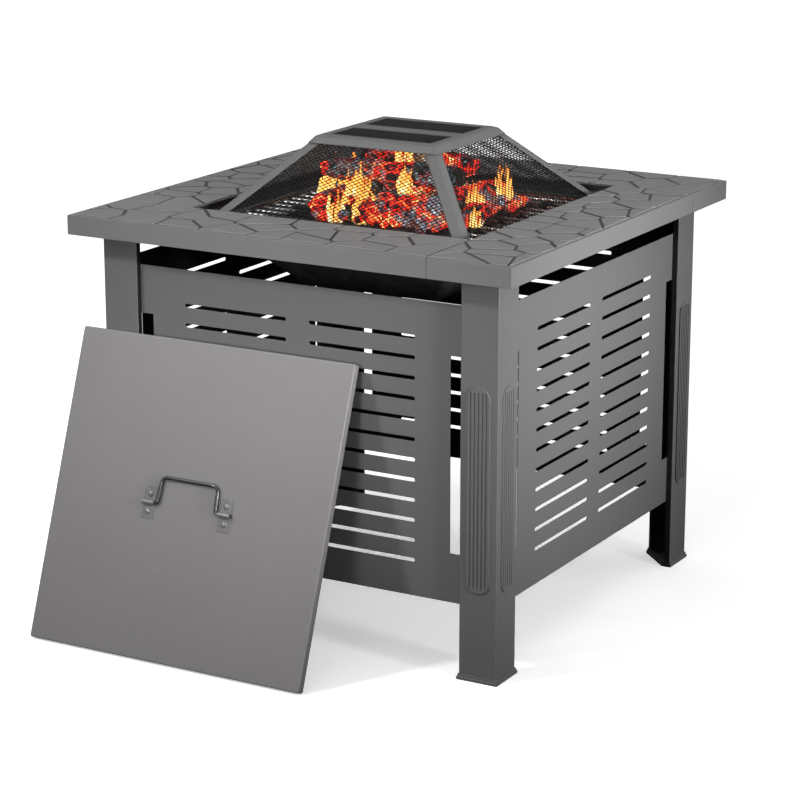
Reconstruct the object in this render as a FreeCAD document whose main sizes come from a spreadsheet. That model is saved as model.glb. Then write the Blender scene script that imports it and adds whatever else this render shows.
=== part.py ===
"""Square steel fire-pit table with slatted sides, tapered bowl, rod grate, mesh screen and lid."""
import FreeCAD, Part
import math
import os
import Sketcher
from FreeCAD import Placement, Rotation, Vector

doc = FreeCAD.newDocument("FirePit")
sheet = doc.addObject("Spreadsheet::Sheet", "Sizes")

# Driving dimensions in millimetres and degrees. Z = 0 is the ground under the feet.
driving = [
    # table
    ("tableWidth", 762.0), ("tableHeight", 640.0), ("topSheet", 1.2), ("skirtDepth", 30.0),
    ("borderWidth", 139.5), ("lipDepth", 10.0), ("seamInset", 3.5), ("seamGap", 1.0),
    ("seamLip", 18.0), ("rivetShank", 4.0), ("rivetHead", 8.0), ("rivetHeight", 1.6),
    # legs and feet
    ("legInset", 38.4), ("legFlange", 61.5), ("legLip", 10.0), ("legSheet", 1.5),
    ("legBend", 2.5), ("bracketSheet", 2.0),
    ("footHeight", 8.5), ("footStep", 4.5), ("footFlare", 3.0), ("footFloor", 2.5),
    ("footPlay", 0.2),
    # pressed fluting on the leg flanges
    ("fluteWidth", 37.0), ("fluteHeight", 312.0), ("fluteFoot", 138.0), ("fluteRaise", 2.2),
    ("grooveWidth", 2.2), ("grooveDepth", 1.4), ("groovePitch", 6.4), ("grooveCount", 5),
    # slatted side panels
    ("panelFoot", 113.0), ("panelHeadroom", 75.0), ("panelSheet", 1.2), ("panelTuck", 19.0),
    ("notchInset", 21.6), ("notchShare", 0.664),
    ("slotMargin", 59.0), ("slotHeight", 6.0), ("slotShare", 0.754), ("slotInset", 20.0),
    ("slotRows", 12),
    # fixings
    ("boltSize", 6.0), ("boltHead", 10.0), ("headHeight", 3.5), ("bossSize", 10.0),
    ("boltInset", 52.0), ("nutWidth", 10.0), ("nutHeight", 5.0), ("threadPlay", 0.15),
    ("studInset", 20.0),
    # fire bowl
    ("bowlDepth", 120.0), ("bowlFloorWidth", 243.0), ("bowlSheet", 1.2), ("flangeGap", 13.6),
    ("bowlCorner", 12.0),
    # grate
    ("grateDrop", 23.0), ("rodSize", 6.0), ("barSize", 5.0), ("barCount", 15),
    ("weldDepth", 1.0),
    ("restGap", 0.3),
    # spark screen
    ("screenPlay", 2.0), ("screenBaseBar", 13.0), ("screenBaseThick", 2.5),
    ("screenRise", 106.5), ("screenTopWidth", 208.0), ("capDrop", 12.0), ("capSpread", 11.0),
    ("capRound", 6.0), ("strutWidth", 19.0), ("strutSheet", 1.5), ("screenSheet", 1.2),
    ("meshThick", 1.6), ("windowWidth", 178.0), ("windowReach", 87.0), ("windowBar", 32.0),
    # firewood, as shares of the screen's height and top width
    ("logShare", 0.44), ("logSpan", 1.1),
    # lid and its bail
    ("lidOverlap", 4.2), ("lidEdge", 12.0), ("lidSheet", 1.2), ("lidLean", 20.0),
    ("lidPlace", -131.0), ("lidRound", 2.0), ("lidCorner", 4.0),
    ("bailPlace", 236.0), ("wireSize", 5.6), ("bailReach", 41.0), ("bailTopWidth", 100.0),
    ("bailFootWidth", 104.0), ("bailBend", 10.0), ("bailFootBend", 5.0),
    ("clipLength", 21.0), ("clipHeight", 50.0), ("clipSheet", 1.2), ("clipPlay", 1.0),
    ("wirePlay", 0.1), ("domeWidth", 11.0), ("domeRise", 3.0), ("domeSpacing", 27.0),
]
for row, (alias, number) in enumerate(driving, start=1):
    sheet.set("A%d" % row, alias)
    sheet.set("B%d" % row, str(number))
    sheet.setAlias("B%d" % row, alias)
doc.recompute()


def size(expression):
    """Value of a sheet expression as a plain number."""
    return float(sheet.evalExpression(expression))


# Places and sizes that follow from the sheet, written as expressions.
tableHalf = "(Sizes.tableWidth / 2)"
openingHalf = "(Sizes.tableWidth / 2 - Sizes.borderWidth)"
legCorner = "(Sizes.tableWidth / 2 - Sizes.legInset)"
legEdge = "(%s - Sizes.legFlange)" % legCorner
topUnder = "(Sizes.tableHeight - Sizes.topSheet)"
rimLevel = "(Sizes.tableHeight - Sizes.lipDepth)"
legTop = "(%s - Sizes.bracketSheet)" % topUnder
panelFace = "(%s - Sizes.legLip)" % legCorner
panelHeight = "(Sizes.tableHeight - Sizes.panelHeadroom - Sizes.panelFoot)"
notchPlace = "(%s - Sizes.notchInset)" % legEdge
seamNear = "(%s + Sizes.seamInset - Sizes.seamGap / 2)" % openingHalf
seamFar = "(%s + Sizes.seamInset + Sizes.seamGap / 2)" % openingHalf
bowlFlange = "(%s - %s - Sizes.flangeGap)" % (legEdge, openingHalf)
bowlSlope = "((%s - Sizes.bowlFloorWidth / 2) / Sizes.bowlDepth)" % openingHalf
slopeLength = "sqrt(1 + %s * %s)" % (bowlSlope, bowlSlope)
bowlInner = "(%s - Sizes.bowlSheet * %s)" % (openingHalf, slopeLength)
grateLevel = "(Sizes.tableHeight - Sizes.grateDrop)"
grateHalf = (
    "(%s - (%s - %s) * %s - (Sizes.rodSize / 2 + Sizes.restGap) * %s)"
    % (bowlInner, rimLevel, grateLevel, bowlSlope, slopeLength)
)
baseLevel = "(%s + Sizes.rodSize / 2 + Sizes.restGap)" % grateLevel
screenTop = "(Sizes.tableHeight + Sizes.screenRise)"
capFoot = "(%s - Sizes.capDrop)" % screenTop
capHalf = "(Sizes.screenTopWidth / 2 + Sizes.capSpread)"
screenFoot = "(%s + Sizes.screenBaseThick)" % baseLevel
screenBaseHalf = "(%s - (%s - %s) * %s - Sizes.screenPlay)" % (bowlInner, rimLevel, baseLevel, bowlSlope)
screenFootHalf = "(%s - Sizes.strutSheet)" % screenBaseHalf
screenHeadHalf = "(%s - Sizes.screenSheet - Sizes.strutSheet)" % capHalf
wireLift = "(Sizes.wireSize / 2 + Sizes.clipSheet)"
clipMiddle = "(Sizes.bailFootWidth / 2 + Sizes.bailFootBend + Sizes.clipPlay + Sizes.clipLength / 2)"
flangeMiddle = "((%s + %s + %s) / 2)" % (tableHalf, openingHalf, bowlFlange)
lidWidth = "(2 * %s + Sizes.lidOverlap)" % openingHalf
seamRivetLevel = "(%s - Sizes.seamLip * 0.55)" % topUnder

CORNERS = [("front_left", 0), ("front_right", 90), ("rear_right", 180), ("rear_left", 270)]
SIDES = [("front", 0), ("right", 90), ("rear", 180), ("left", 270)]
kept = []


def keep(thing, label):
    """Name a finished sub-part and list it for export."""
    thing.Label = label
    kept.append(thing)
    return thing


def bind(thing, **expressions):
    """Bind properties to sheet expressions; Placement parts are written X, Y, Z."""
    for key, expression in expressions.items():
        path = "Placement.Base." + key.lower() if key in ("X", "Y", "Z") else key
        thing.setExpression(path, expression)
    return thing


def turned(thing, angle):
    """Turn a sub-part about the table's upright centre line."""
    spin = Placement(Vector(), Rotation(Vector(0, 0, 1), angle))
    thing.Placement = spin.multiply(thing.Placement)
    return thing


# ---- sketch helpers ----

def body(label):
    return keep(doc.addObject("PartDesign::Body", "Body"), label)


def sketchOn(owner, role, lift=None):
    """Sketch on one of the body's origin planes, lifted along the plane's normal."""
    sketch = owner.newObject("Sketcher::SketchObject", "Outline")
    plane = [f for f in owner.Origin.OriginFeatures if f.Role == role][0]
    sketch.AttachmentSupport = [(plane, "")]
    sketch.MapMode = "FlatFace"
    if lift:
        sketch.setExpression("AttachmentOffset.Base.z", lift)
    return sketch


def pin(sketch, geometry, point, place):
    """Hold one point at (x, y), each a sheet expression."""
    for kind, expression in zip(("DistanceX", "DistanceY"), place):
        number = sketch.addConstraint(
            Sketcher.Constraint(kind, -1, 1, geometry, point, size(expression)))
        sketch.setExpression("Constraints[%d]" % number, expression)


def outline(sketch, places):
    """Closed polygon through points given as pairs of expressions."""
    points = [Vector(size(x), size(y), 0) for x, y in places]
    first = sketch.GeometryCount
    count = len(points)
    for i in range(count):
        sketch.addGeometry(Part.LineSegment(points[i], points[(i + 1) % count]), False)
    for i in range(count):
        following = first + (i + 1) % count
        sketch.addConstraint(Sketcher.Constraint("Coincident", first + i, 2, following, 1))
        pin(sketch, first + i, 1, places[i])


def rectangle(sketch, left, low, right, high):
    outline(sketch, [(left, low), (right, low), (right, high), (left, high)])


def circle(sketch, place, radius):
    centre = Vector(size(place[0]), size(place[1]), 0)
    ring = sketch.addGeometry(Part.Circle(centre, Vector(0, 0, 1), size(radius)), False)
    pin(sketch, ring, 3, place)
    number = sketch.addConstraint(Sketcher.Constraint("Radius", ring, size(radius)))
    sketch.setExpression("Constraints[%d]" % number, radius)


def slot(sketch, start, end, radius):
    """Round-ended slot between two centres."""
    a = Vector(size(start[0]), size(start[1]), 0)
    b = Vector(size(end[0]), size(end[1]), 0)
    reach = size(radius)
    along = math.atan2(b.y - a.y, b.x - a.x)
    side = Vector(-math.sin(along), math.cos(along), 0) * reach
    up = Vector(0, 0, 1)
    quarter = math.pi / 2
    first = sketch.addGeometry(Part.LineSegment(a - side, b - side), False)
    far = sketch.addGeometry(
        Part.ArcOfCircle(Part.Circle(b, up, reach), along - quarter, along + quarter), False)
    second = sketch.addGeometry(Part.LineSegment(b + side, a + side), False)
    near = sketch.addGeometry(
        Part.ArcOfCircle(Part.Circle(a, up, reach), along + quarter, along + 3 * quarter), False)
    for one, other in ((first, far), (far, second), (second, near), (near, first)):
        sketch.addConstraint(Sketcher.Constraint("Tangent", one, 2, other, 1))
    pin(sketch, far, 3, end)
    pin(sketch, near, 3, start)
    sketch.addConstraint(Sketcher.Constraint("Equal", far, near))
    number = sketch.addConstraint(Sketcher.Constraint("Radius", far, reach))
    sketch.setExpression("Constraints[%d]" % number, radius)


def pad(owner, sketch, length, reverse=False):
    feature = owner.newObject("PartDesign::Pad", "Pad")
    feature.Profile = sketch
    feature.setExpression("Length", length)
    feature.Reversed = reverse
    sketch.Visibility = False
    doc.recompute()
    return feature


def pocket(owner, sketch, length=None, reverse=False):
    """Pocket of a given depth, or through everything; it must take material away."""
    before = owner.Shape.Volume
    feature = owner.newObject("PartDesign::Pocket", "Pocket")
    feature.Profile = sketch
    if length:
        feature.setExpression("Length", length)
    else:
        feature.Type = "ThroughAll"
    feature.Reversed = reverse
    sketch.Visibility = False
    doc.recompute()
    assert feature.Shape.Volume < before - 0.01, owner.Label + ": the pocket cuts nothing"
    return feature


def repeat(owner, feature, sketch, axis, span, count):
    """Row of a feature along one of its sketch's axes."""
    row = owner.newObject("PartDesign::LinearPattern", "Row")
    row.Originals = [feature]
    row.Direction = (sketch, [axis])
    row.setExpression("Length", span)
    row.setExpression("Occurrences", count)
    owner.Tip = row
    doc.recompute()
    return row


def loft(owner, kind, *sections):
    """Straight-sided loft through sections listed from one end to the other."""
    feature = owner.newObject(kind, "Loft")
    feature.Profile = sections[0]
    feature.Sections = list(sections[1:])
    feature.Ruled = True
    for section in sections:
        section.Visibility = False
    doc.recompute()
    return feature


def roundEdges(owner, picks, radius):
    """Fillet the edges of the body's tip that picks() accepts."""
    tip = owner.Tip
    names = ["Edge%d" % (i + 1) for i, edge in enumerate(tip.Shape.Edges) if picks(edge)]
    feature = owner.newObject("PartDesign::Fillet", "Round")
    feature.Base = (tip, names)
    feature.setExpression("Radius", radius)
    doc.recompute()
    return feature


def edgeEnds(edge):
    return [vertex.Point for vertex in edge.Vertexes]


def upright(edge):
    """True for a straight edge parallel to Z."""
    ends = edgeEnds(edge)
    return len(ends) == 2 and (ends[0] - ends[1]).cross(Vector(0, 0, 1)).Length < 1e-6


def level(edge, height):
    return all(abs(point.z - height) < 1e-6 for point in edgeEnds(edge))


def softSquare(owner, half, height, corner):
    """Sketch of a centred square with rounded corners at a given height."""
    sketch = sketchOn(owner, "XY_Plane", height)
    near = "(%s - %s)" % (half, corner)
    reach = size(corner)
    signs = [(1, 1), (-1, 1), (-1, -1), (1, -1)]
    arcs = []
    for i, (x, y) in enumerate(signs):
        centre = Vector(x * size(near), y * size(near), 0)
        round_ = Part.Circle(centre, Vector(0, 0, 1), reach)
        start = i * math.pi / 2
        arcs.append(sketch.addGeometry(Part.ArcOfCircle(round_, start, start + math.pi / 2), False))
    ends = [sketch.Geometry[arc] for arc in arcs]
    for i in range(4):
        following = (i + 1) % 4
        run = Part.LineSegment(ends[i].EndPoint, ends[following].StartPoint)
        line = sketch.addGeometry(run, False)
        sketch.addConstraint(Sketcher.Constraint("Tangent", arcs[i], 2, line, 1))
        sketch.addConstraint(Sketcher.Constraint("Tangent", line, 2, arcs[following], 1))
    for arc, (x, y) in zip(arcs, signs):
        pin(sketch, arc, 3, ("%d * %s" % (x, near), "%d * %s" % (y, near)))
        number = sketch.addConstraint(Sketcher.Constraint("Radius", arc, reach))
        sketch.setExpression("Constraints[%d]" % number, corner)
    return sketch


def hexNut(name, place):
    """Plain hexagon nut with a clearance bore; place holds expressions for x, y and z."""
    blank = bind(
        doc.addObject("Part::Prism", name + "Blank"), Circumradius="Sizes.nutWidth / sqrt(3)",
        Height="Sizes.nutHeight", X=place[0], Y=place[1], Z=place[2])
    blank.Polygon = 6
    bore = bind(
        doc.addObject("Part::Cylinder", name + "Bore"),
        Radius="Sizes.boltSize / 2 + Sizes.threadPlay", Height="Sizes.nutHeight",
        X=place[0], Y=place[1], Z=place[2])
    nut = doc.addObject("Part::Cut", name)
    nut.Base = blank
    nut.Tool = bore
    return nut


def group(label, things):
    """Separate solids kept together in one node."""
    bundle = doc.addObject("Part::Compound", "Group")
    bundle.Links = things
    return keep(bundle, label)


# ---- legs: folded angle with return lips, pressed fluting and welded bosses ----

def fluting(owner, role, outward):
    """Raised round-ended pad with upright grooves on one flange."""
    middle = "(Sizes.legFlange / 2)"
    radius = "(Sizes.fluteWidth / 2)"
    low = "(Sizes.fluteFoot + %s)" % radius
    high = "(Sizes.fluteFoot + Sizes.fluteHeight - %s)" % radius
    raised = sketchOn(owner, role)
    slot(raised, (middle, low), (middle, high), radius)
    pad(owner, raised, "Sizes.fluteRaise", reverse=not outward)
    span = "(Sizes.groovePitch * (Sizes.grooveCount - 1))"
    start = "(%s - %s / 2)" % (middle, span)
    face = "Sizes.fluteRaise" if outward else "-Sizes.fluteRaise"
    groove = sketchOn(owner, role, face)
    half = "(Sizes.grooveWidth / 2)"
    reach = "(Sizes.fluteWidth * 0.27)"
    slot(groove, (start, "(%s - %s)" % (low, reach)), (start, "(%s + %s)" % (high, reach)), half)
    cut = pocket(owner, groove, "Sizes.grooveDepth", reverse=not outward)
    repeat(owner, cut, groove, "H_Axis", span, "Sizes.grooveCount")


def bosses(owner, role, inward):
    """Threaded bosses inside one flange, level with the side panel's face."""
    for height in boltHeights:
        place = ("Sizes.boltInset", height)
        stand = sketchOn(owner, role, "Sizes.legSheet" if inward else "-Sizes.legSheet")
        circle(stand, place, "Sizes.bossSize / 2")
        pad(owner, stand, "Sizes.legLip - Sizes.legSheet", reverse=not inward)
        bore = sketchOn(owner, role, "Sizes.legLip" if inward else "-Sizes.legLip")
        circle(bore, place, "Sizes.boltSize / 2 + Sizes.threadPlay")
        pocket(owner, bore, "Sizes.legLip - Sizes.legSheet", reverse=not inward)


panelHead = "(Sizes.panelFoot + %s)" % panelHeight
notchLow = "(Sizes.panelFoot + %s * (1 - Sizes.notchShare) / 2)" % panelHeight
notchHigh = "(%s + %s * Sizes.notchShare)" % (notchLow, panelHeight)
boltHeights = ["((Sizes.panelFoot + %s) / 2)" % notchLow, "((%s + %s) / 2)" % (notchHigh, panelHead)]


def makeLeg(corner, angle):
    leg = body("leg_" + corner)
    section = sketchOn(leg, "XY_Plane", "Sizes.footFloor")
    outer, wall, lip = "Sizes.legFlange", "Sizes.legSheet", "Sizes.legLip"
    inner = "(%s - %s)" % (outer, wall)
    outline(section, [
        ("0", "0"), (outer, "0"), (outer, lip), (inner, lip), (inner, wall), (wall, wall),
        (wall, inner), (lip, inner), (lip, outer), ("0", outer)])
    pad(leg, section, "%s - Sizes.footFloor" % legTop)

    def outerBends(edge):
        ends = edgeEnds(edge)
        reach = size(outer)
        spots = [(0, 0), (reach, 0), (0, reach)]
        return upright(edge) and any(
            abs(ends[0].x - x) < 1e-6 and abs(ends[0].y - y) < 1e-6 for x, y in spots)

    roundEdges(leg, outerBends, "Sizes.legBend * 0.5")
    fluting(leg, "XZ_Plane", outward=True)
    fluting(leg, "YZ_Plane", outward=False)
    bosses(leg, "XZ_Plane", inward=False)
    bosses(leg, "YZ_Plane", inward=True)
    bind(leg, X="-" + legCorner, Y="-" + legCorner)
    return leg


# The parts of each corner are drawn at the front left and turned into place.
def footOutline(sketch, grow):
    """Five-sided plan of a foot: two outer walls, two short returns, one slanted inner edge."""
    low = "(-(%s))" % grow
    far = "(Sizes.legFlange + (%s))" % grow
    turn = "(Sizes.legLip + (%s))" % grow
    outline(sketch, [(low, low), (far, low), (far, turn), (turn, far), (low, far)])


def makeFoot(corner, angle):
    foot = body("foot_" + corner)
    base = sketchOn(foot, "XY_Plane")
    footOutline(base, "Sizes.footFlare")
    pad(foot, base, "Sizes.footStep")
    upper = sketchOn(foot, "XY_Plane", "Sizes.footStep")
    footOutline(upper, "Sizes.footFlare / 2")
    pad(foot, upper, "Sizes.footHeight - Sizes.footStep")
    well = sketchOn(foot, "XY_Plane", "Sizes.footHeight")
    footOutline(well, "Sizes.footPlay")
    pocket(foot, well, "Sizes.footHeight - Sizes.footFloor")
    bind(foot, X="-" + legCorner, Y="-" + legCorner)
    return foot


def makeBracket(corner, angle):
    """Plate welded on the leg's top end, with two holes for the table top's studs."""
    bracket = body("corner_bracket_" + corner)
    plan = sketchOn(bracket, "XY_Plane", legTop)
    footOutline(plan, "0")
    pad(bracket, plan, "Sizes.bracketSheet")
    holes = sketchOn(bracket, "XY_Plane", topUnder)
    for place in studPlaces:
        circle(holes, place, "Sizes.boltSize / 2 + Sizes.threadPlay")
    pocket(bracket, holes)
    bind(bracket, X="-" + legCorner, Y="-" + legCorner)
    return bracket


studFar = "(Sizes.legFlange - Sizes.studInset)"
studPlaces = [("Sizes.studInset", studFar), (studFar, "Sizes.studInset")]


# ---- side panels: flat sheet with slots, cut back beside the legs ----

def makeSidePanel(side, angle):
    panel = body("side_panel_" + side)
    reach = "(%s - Sizes.boltInset + Sizes.panelTuck / 2)" % legCorner
    foot = "Sizes.panelFoot"
    edge = [
        (reach, foot), (reach, notchLow), (notchPlace, notchLow), (notchPlace, notchHigh),
        (reach, notchHigh), (reach, panelHead)]
    mirrored = [("(-%s)" % x, y) for x, y in reversed(edge)]
    sheetPlan = sketchOn(panel, "XZ_Plane")
    outline(sheetPlan, edge + mirrored)
    pad(panel, sheetPlan, "Sizes.panelSheet", reverse=True)
    row = sketchOn(panel, "XZ_Plane")
    radius = "(Sizes.slotHeight / 2)"
    start = "(Sizes.slotInset + %s)" % radius
    end = "(%s - Sizes.slotMargin - %s)" % (notchPlace, radius)
    span = "(%s * Sizes.slotShare)" % panelHeight
    level0 = "(Sizes.panelFoot + (%s - %s) / 2)" % (panelHeight, span)
    slot(row, (start, level0), (end, level0), radius)
    slot(row, ("(-%s)" % end, level0), ("(-%s)" % start, level0), radius)
    cut = pocket(panel, row)
    repeat(panel, cut, row, "V_Axis", span, "Sizes.slotRows")
    holes = sketchOn(panel, "XZ_Plane")
    for sign in ("", "-"):
        for height in boltHeights:
            circle(holes, (sign + "(%s - Sizes.boltInset)" % legCorner, height),
                   "Sizes.boltSize / 2 + Sizes.threadPlay")
    pocket(panel, holes)
    bind(panel, Y="-" + panelFace)
    return panel


# ---- table top: four identical folded panels laid like a pinwheel ----

def makeTopPanel(side, angle):
    top = body("top_panel_" + side)
    edge, opening, wall = tableHalf, openingHalf, "Sizes.topSheet"
    skin = sketchOn(top, "XY_Plane", topUnder)
    outline(skin, [
        ("-" + edge, "-" + edge), (seamNear, "-" + edge), (seamNear, "-" + opening),
        ("-" + opening, "-" + opening), ("-" + opening, "-" + seamFar), ("-" + edge, "-" + seamFar)])
    pad(top, skin, wall)
    skirt = sketchOn(top, "XY_Plane", topUnder)
    inner = "(%s - %s)" % (edge, wall)
    outline(skirt, [
        ("-" + edge, "-" + edge), (seamNear, "-" + edge), (seamNear, "-" + inner),
        ("-" + inner, "-" + inner), ("-" + inner, "-" + seamFar), ("-" + edge, "-" + seamFar)])
    pad(top, skirt, "Sizes.skirtDepth - Sizes.topSheet", reverse=True)
    rim = sketchOn(top, "XY_Plane", topUnder)
    rectangle(rim, "-" + opening, "(-%s - %s)" % (opening, wall), "(%s - %s)" % (seamNear, wall),
              "-" + opening)
    pad(top, rim, "Sizes.lipDepth - Sizes.topSheet", reverse=True)
    flangeClear = "(-%s - %s - Sizes.bowlSheet)" % (opening, bowlFlange)
    ends = sketchOn(top, "XY_Plane", topUnder)
    rectangle(ends, "(%s - %s)" % (seamNear, wall), "-" + inner, seamNear,
              flangeClear)
    rectangle(ends, "-" + inner, "(-%s - %s)" % (seamFar, wall), flangeClear, "-" + seamFar)
    pad(top, ends, "Sizes.seamLip - Sizes.topSheet", reverse=True)
    for plane in ("YZ_Plane", "XZ_Plane"):
        hole = sketchOn(top, plane)
        circle(hole, ("(-%s)" % flangeMiddle, seamRivetLevel), "Sizes.rivetShank / 2 + Sizes.threadPlay")
        pocket(top, hole, "(%s + 2 * %s)" % (seamFar, wall), reverse=True)
    legStuds = sketchOn(top, "XY_Plane", topUnder)
    for x, y in studPlaces:
        circle(legStuds, ("(%s - %s)" % (x, legCorner), "(%s - %s)" % (y, legCorner)),
               "Sizes.boltSize / 2")
    pad(top, legStuds, "Sizes.bracketSheet + Sizes.nutHeight + 2 * Sizes.topSheet", reverse=True)
    rimStuds = sketchOn(top, "XY_Plane", topUnder)
    for x, y in rimStudPlaces:
        circle(rimStuds, (x, y), "Sizes.boltSize / 2")
    pad(top, rimStuds,
        "Sizes.lipDepth + Sizes.bowlSheet + Sizes.nutHeight + Sizes.topSheet", reverse=True)
    return top


rimStudLine = "(-%s - %s / 2)" % (openingHalf, bowlFlange)
rimStudReach = "(%s * 2 / 3)" % openingHalf
rimStudPlaces = [("(-%s)" % rimStudReach, rimStudLine), (rimStudReach, rimStudLine)]


# ---- fire bowl: tapered square pan hung from the table top by its flange ----

def makeBowl():
    bowl = body("fire_bowl")
    floorLevel = "(%s - Sizes.bowlDepth)" % rimLevel
    floorHalf = "(Sizes.bowlFloorWidth / 2)"
    corner = "Sizes.bowlCorner"
    head = softSquare(bowl, openingHalf, rimLevel, corner)
    foot = softSquare(bowl, floorHalf, floorLevel, corner)
    loft(bowl, "PartDesign::AdditiveLoft", head, foot)
    flange = softSquare(bowl, "(%s + %s)" % (openingHalf, bowlFlange), rimLevel, corner)
    pad(bowl, flange, "Sizes.bowlSheet", reverse=True)
    thin = "Sizes.bowlSheet * (%s - %s)" % (slopeLength, bowlSlope)
    inHead = softSquare(bowl, bowlInner, rimLevel, corner)
    inFoot = softSquare(bowl, "(%s - %s)" % (floorHalf, thin),
                        "(%s + Sizes.bowlSheet)" % floorLevel, corner)
    loft(bowl, "PartDesign::SubtractiveLoft", inHead, inFoot)
    holes = sketchOn(bowl, "XY_Plane", rimLevel)
    for x, y in rimStudPlaces:
        for place in ((x, y), ("(-%s)" % y, x), ("(-%s)" % x, "(-%s)" % y), (y, "(-%s)" % x)):
            circle(holes, place, "Sizes.boltSize / 2 + Sizes.threadPlay")
    pocket(bowl, holes, "2 * Sizes.bowlSheet")
    return bowl


# ---- grate: round rods welded to a rim rod, lying on the bowl's sloping walls ----

def rod(name, diameter, length, x, y, z, axis):
    """Round rod that starts at x, y, z and runs along axis."""
    bar = bind(doc.addObject("Part::Cylinder", name), Radius="%s / 2" % diameter, Height=length,
               X=x, Y=y, Z=z)
    bar.Placement.Rotation = Rotation(Vector(0, 0, 1), axis)
    return bar


def makeGrate():
    pieces = []
    cut = "Sizes.bowlCorner"
    near = "(%s - %s)" % (grateHalf, cut)
    side = "(2 * %s)" % near
    slant = "(%s * sqrt(2))" % cut
    for sign in ("-", ""):
        far = sign + grateHalf
        pieces.append(rod("RimAlongX", "Sizes.rodSize", side, "-" + near, far, grateLevel,
                          Vector(1, 0, 0)))
        pieces.append(rod("RimAlongY", "Sizes.rodSize", side, far, "-" + near, grateLevel,
                          Vector(0, 1, 0)))
        for other in ("-", ""):
            direction = Vector(-1 if sign else 1, 1 if other else -1, 0)
            pieces.append(rod("RimCorner", "Sizes.rodSize", slant, sign + near, other + grateHalf,
                              grateLevel, direction))
            for x, y in ((sign + near, other + grateHalf), (sign + grateHalf, other + near)):
                knuckle = doc.addObject("Part::Sphere", "Knuckle")
                pieces.append(bind(knuckle, Radius="Sizes.rodSize / 2", X=x, Y=y, Z=grateLevel))
        drop = "(%s - (Sizes.rodSize + Sizes.barSize) / 2 + Sizes.weldDepth)" % grateLevel
        pieces.append(rod("Bearer", "Sizes.rodSize", side, sign + "(%s / 2)" % grateHalf, "-" + near,
                          drop, Vector(0, 1, 0)))
    for i in range(int(size("Sizes.barCount"))):
        offset = "(%s * (2 * %d / (Sizes.barCount + 1) - 1))" % (grateHalf, i + 1)
        pieces.append(rod("Bar", "Sizes.barSize", "2 * " + grateHalf, "-" + grateHalf, offset,
                          grateLevel, Vector(1, 0, 0)))
    grate = doc.addObject("Part::MultiFuse", "Grate")
    grate.Shapes = pieces
    return keep(grate, "fire_grate")


# ---- firewood: split logs lying on the grate under the screen ----

def makeLogs():
    """A layer of logs across the grate bars, two logs across those, and a stick on top.

    Lengths and places are shares of the screen's top.
    """
    # length, thickness, middle x, middle y, layers below, bearing
    pile = [
        (1.25, 0.9, -0.42, 0.02, 0, 86), (1.4, 1.0, 0.0, -0.04, 0, 94), (1.3, 0.95, 0.42, 0.04, 0, 88),
        (1.15, 0.95, 0.03, -0.27, 1, 7), (1.05, 1.0, -0.03, 0.28, 1, -9), (0.8, 0.48, 0.02, 0.03, 2, 66),
    ]
    full = "(Sizes.logShare * Sizes.screenRise)"
    seat = "(%s + Sizes.barSize / 2 + Sizes.restGap)" % grateLevel
    for number, (length, thick, x, y, layer, bearing) in enumerate(pile, start=1):
        log = doc.addObject("Part::Prism", "Log")
        log.Polygon = 12
        along = Vector(math.cos(math.radians(bearing)), math.sin(math.radians(bearing)), 0)
        log.Placement.Rotation = Rotation(Vector(0, 0, 1), along)
        reach = "(%.2f * Sizes.logSpan * Sizes.screenTopWidth)" % (length / 1.1)
        bind(log, Circumradius="%.2f * %s / 2" % (thick, full), Height=reach,
             X="%.2f * Sizes.screenTopWidth - %.4f * %s / 2" % (x, along.x, reach),
             Y="%.2f * Sizes.screenTopWidth - %.4f * %s / 2" % (y, along.y, reach),
             Z="%s + %d * (%s + Sizes.restGap) + %.2f * %s / 2" % (seat, layer, full, thick, full))
        keep(log, "log_%d" % number)


# ---- spark screen: base ring, corner struts, mesh sides and a pressed cap ----

def makeScreenBase():
    ring = body("screen_base")
    outer = softSquare(ring, screenBaseHalf, baseLevel, "Sizes.screenBaseBar")
    pad(ring, outer, "Sizes.screenBaseThick")
    inside = "(%s - Sizes.screenBaseBar)" % screenBaseHalf
    inner = softSquare(ring, inside, screenFoot, "Sizes.screenBaseBar / 4")
    pocket(ring, inner)
    return ring


def strutSection(sketch, half):
    """Angle section with its outer corner at (-half, -half)."""
    low = "(-%s)" % half
    far = "(-%s + Sizes.strutWidth)" % half
    inside = "(-%s + Sizes.strutSheet)" % half
    outline(sketch, [(low, low), (far, low), (far, inside), (inside, inside), (inside, far), (low, far)])


def makeStrut(corner, angle):
    strut = body("screen_strut_" + corner)
    foot = sketchOn(strut, "XY_Plane", screenFoot)
    strutSection(foot, screenFootHalf)
    head = sketchOn(strut, "XY_Plane", capFoot)
    strutSection(head, screenHeadHalf)
    loft(strut, "PartDesign::AdditiveLoft", foot, head)
    return strut


def makeMesh(side, angle):
    """Mesh side as a thin sheet between two struts, behind their flanges."""
    mesh = body("screen_mesh_" + side)
    ends = []
    for height, half in ((screenFoot, screenFootHalf), (capFoot, screenHeadHalf)):
        sketch = sketchOn(mesh, "XY_Plane", height)
        reach = "(%s - 2 * Sizes.strutSheet - Sizes.meshThick)" % half
        near = "(-%s + Sizes.strutSheet)" % half
        rectangle(sketch, "-" + reach, near, reach, "(%s + Sizes.meshThick)" % near)
        ends.append(sketch)
    loft(mesh, "PartDesign::AdditiveLoft", ends[0], ends[1])
    return mesh


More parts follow.
